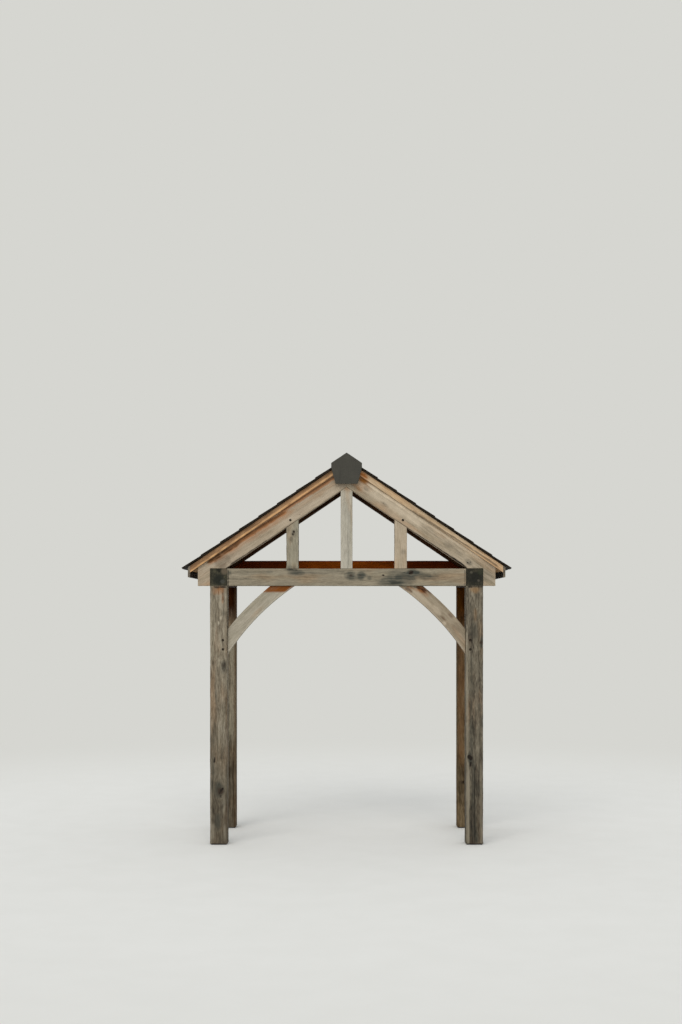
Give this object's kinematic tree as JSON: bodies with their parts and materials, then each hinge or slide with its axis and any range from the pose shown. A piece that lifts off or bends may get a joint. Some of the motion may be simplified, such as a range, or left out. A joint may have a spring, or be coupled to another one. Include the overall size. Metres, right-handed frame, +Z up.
{
  "type": "oak framed entrance porch",
  "caption": "Open porch on square timber posts, with curved braces, a pegged gable truss and a slated roof that stands against a wall over a doorway.",
  "frame": {"origin": "on the ground under the middle of the porch's bounding box", "axes": "+X to the right as seen from in front, +Y from the front towards the wall, +Z up"},
  "size_m": [2.643, 1.057, 3.16],
  "materials": {
    "oak_post": "matte",
    "oak_frame": "matte",
    "oak_sheltered": "matte",
    "verge_timber": "matte",
    "roof_timber": "matte",
    "slate": "satin",
    "ridge": "matte",
    "mortar": "matte",
    "shoe_steel": "matte",
    "oak_peg": "matte"
  },
  "bodies": {
    "root": {"front_left_post": "oak_post", "front_right_post": "oak_post", "rear_left_post": "oak_sheltered", "rear_right_post": "oak_sheltered", "front_left_shoe": "shoe_steel", "front_right_shoe": "shoe_steel", "rear_left_shoe": "shoe_steel", "rear_right_shoe": "shoe_steel", "left_wall_plate": "oak_frame", "right_wall_plate": "oak_frame", "front_tie_beam": "oak_frame", "rear_tie_beam": "oak_sheltered", "king_post": "oak_frame", "left_strut": "oak_frame", "right_strut": "oak_frame", "left_brace": "oak_frame", "right_brace": "oak_frame", "front_left_rafter": "oak_frame", "front_right_rafter": "oak_frame", "middle_left_rafter": "oak_sheltered", "middle_right_rafter": "oak_sheltered", "rear_left_rafter": "oak_sheltered", "rear_right_rafter": "oak_sheltered", "ridge_board": "oak_sheltered", "left_roof_boards": "roof_timber", "right_roof_boards": "roof_timber", "left_battens": "roof_timber", "right_battens": "roof_timber", "left_fascia": "verge_timber", "right_fascia": "verge_timber", "left_bargeboard": "verge_timber", "right_bargeboard": "verge_timber", "left_slates": "slate", "right_slates": "slate", "ridge_bedding": "mortar", "ridge_tiles": "ridge", "ridge_end_plate": "ridge", "frame_pegs": "oak_peg"}
  },
  "joints": []
}
